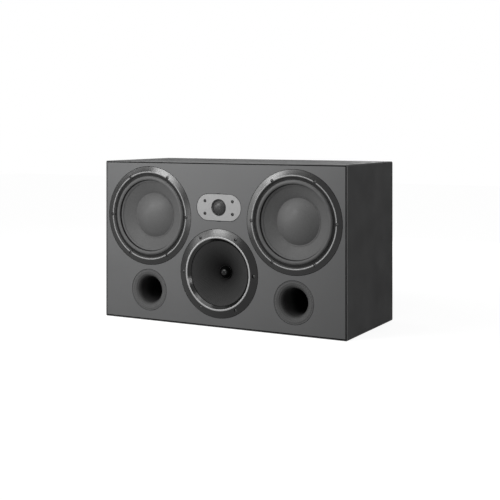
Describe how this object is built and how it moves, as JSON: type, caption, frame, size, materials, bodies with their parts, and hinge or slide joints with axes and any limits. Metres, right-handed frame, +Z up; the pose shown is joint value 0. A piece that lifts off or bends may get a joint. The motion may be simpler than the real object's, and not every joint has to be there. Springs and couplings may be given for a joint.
{
  "type": "lcr speaker",
  "caption": "Wide ported box loudspeaker for home cinema: woofers at the sides, a midrange below a tweeter in the middle, bass ports under the woofers and screw terminals behind.",
  "frame": {"origin": "centre of the cabinet's underside", "axes": "+X across the width to the viewer's right, -Y out of the front baffle, +Z up"},
  "size_m": [0.64, 0.2821, 0.38],
  "materials": {
    "cabinet_finish": "satin dark grey lacquer on board",
    "back_finish": "matt black lacquer on board",
    "plain_board": "bare fibreboard",
    "lining_foam": "open-cell foam",
    "inner_plastic": "moulded black plastic",
    "ring_metal": "satin anodised, bright turned ridge",
    "chassis_metal": "black powder coat on a casting",
    "surround_rubber": "matt rubber",
    "woofer_cone": "pressed pulp, dark grey",
    "woofer_cap": "pressed pulp, dark grey",
    "spider_cloth": "resin-stiffened cloth",
    "coil_copper": "enamelled copper wire",
    "motor_steel": "passivated steel",
    "magnet_ferrite": "ground ferrite",
    "mid_weave": "resin-stiffened woven cloth",
    "plug_metal": "polished, dark",
    "faceplate_metal": "satin silver grey",
    "guard_mesh": "black perforated sheet",
    "dome_cloth": "coated silk",
    "port_plastic": "moulded, dimpled flare",
    "tray_plastic": "moulded black plastic",
    "post_brass": "gilt",
    "cap_black": "fluted black cap",
    "cap_red": "fluted red cap",
    "screw_black": "black oxide",
    "capacitor_film": "wrapped film",
    "resistor_ceramic": "cast ceramic body"
  },
  "bodies": {
    "cabinet": {"back_panel": "back_finish", "base_panel": "cabinet_finish", "binding_post_nuts": "post_brass", "binding_post_stems": "post_brass", "crossover_board": "plain_board", "crossover_capacitors": "capacitor_film", "crossover_inductors": "coil_copper", "crossover_resistors": "resistor_ceramic", "driver_screws": "screw_black", "foam_lining": "lining_foam", "front_baffle": "cabinet_finish", "left_side_panel": "cabinet_finish", "midrange_chamber": "inner_plastic", "midrange_chassis": "chassis_metal", "midrange_edge_ring": "lining_foam", "midrange_magnet": "magnet_ferrite", "midrange_phase_plug": "plug_metal", "midrange_spider": "spider_cloth", "midrange_top_plate": "motor_steel", "midrange_trim_ring": "ring_metal", "midrange_yoke": "motor_steel", "port_left": "port_plastic", "port_right": "port_plastic", "right_side_panel": "cabinet_finish", "small_screws": "screw_black", "terminal_tray": "tray_plastic", "top_panel": "cabinet_finish", "tweeter_faceplate": "faceplate_metal", "tweeter_guard": "guard_mesh", "tweeter_magnet": "magnet_ferrite", "tweeter_rear_tube": "inner_plastic", "tweeter_screws": "screw_black", "tweeter_top_plate": "motor_steel", "tweeter_yoke": "motor_steel", "window_brace": "plain_board", "woofer_left_chassis": "chassis_metal", "woofer_left_magnet": "magnet_ferrite", "woofer_left_spider": "spider_cloth", "woofer_left_surround": "surround_rubber", "woofer_left_top_plate": "motor_steel", "woofer_left_trim_ring": "ring_metal", "woofer_left_yoke": "motor_steel", "woofer_right_chassis": "chassis_metal", "woofer_right_magnet": "magnet_ferrite", "woofer_right_spider": "spider_cloth", "woofer_right_surround": "surround_rubber", "woofer_right_top_plate": "motor_steel", "woofer_right_trim_ring": "ring_metal", "woofer_right_yoke": "motor_steel"},
    "woofer_left_motion": {"woofer_left_cone": "woofer_cone", "woofer_left_dust_cap": "woofer_cap", "woofer_left_voice_coil": "coil_copper"},
    "woofer_right_motion": {"woofer_right_cone": "woofer_cone", "woofer_right_dust_cap": "woofer_cap", "woofer_right_voice_coil": "coil_copper"},
    "midrange_motion": {"midrange_cone": "mid_weave", "midrange_voice_coil": "coil_copper"},
    "tweeter_motion": {"tweeter_diaphragm": "dome_cloth"},
    "black_cap": {"binding_post_cap_left": "cap_black"},
    "red_cap": {"binding_post_cap_right": "cap_red"}
  },
  "joints": [
    {"name": "woofer_left_travel", "type": "slide", "parent": "cabinet", "child": "woofer_left_motion", "axis": [0, -1, 0], "range_m": [-0.006, 0.006], "stiffness_N_per_m": 1800, "deforming": ["woofer_left_surround", "woofer_left_spider"]},
    {"name": "woofer_right_travel", "type": "slide", "parent": "cabinet", "child": "woofer_right_motion", "axis": [0, -1, 0], "range_m": [-0.006, 0.006], "stiffness_N_per_m": 1800, "deforming": ["woofer_right_surround", "woofer_right_spider"]},
    {"name": "midrange_travel", "type": "slide", "parent": "cabinet", "child": "midrange_motion", "axis": [0, -1, 0], "range_m": [-0.0015, 0.0015], "stiffness_N_per_m": 1500, "deforming": ["midrange_edge_ring", "midrange_spider"]},
    {"name": "tweeter_travel", "type": "slide", "parent": "cabinet", "child": "tweeter_motion", "axis": [0, -1, 0], "range_m": [-0.00025, 0.00025], "stiffness_N_per_m": 100},
    {"name": "black_cap_turn", "type": "hinge", "parent": "cabinet", "child": "black_cap", "pos_m": [-0.015, 0.122, 0.17], "axis": [0, 1, 0], "range_deg": [-345, 700]},
    {"name": "red_cap_turn", "type": "hinge", "parent": "cabinet", "child": "red_cap", "pos_m": [0.015, 0.122, 0.17], "axis": [0, 1, 0], "range_deg": [-345, 700]}
  ]
}
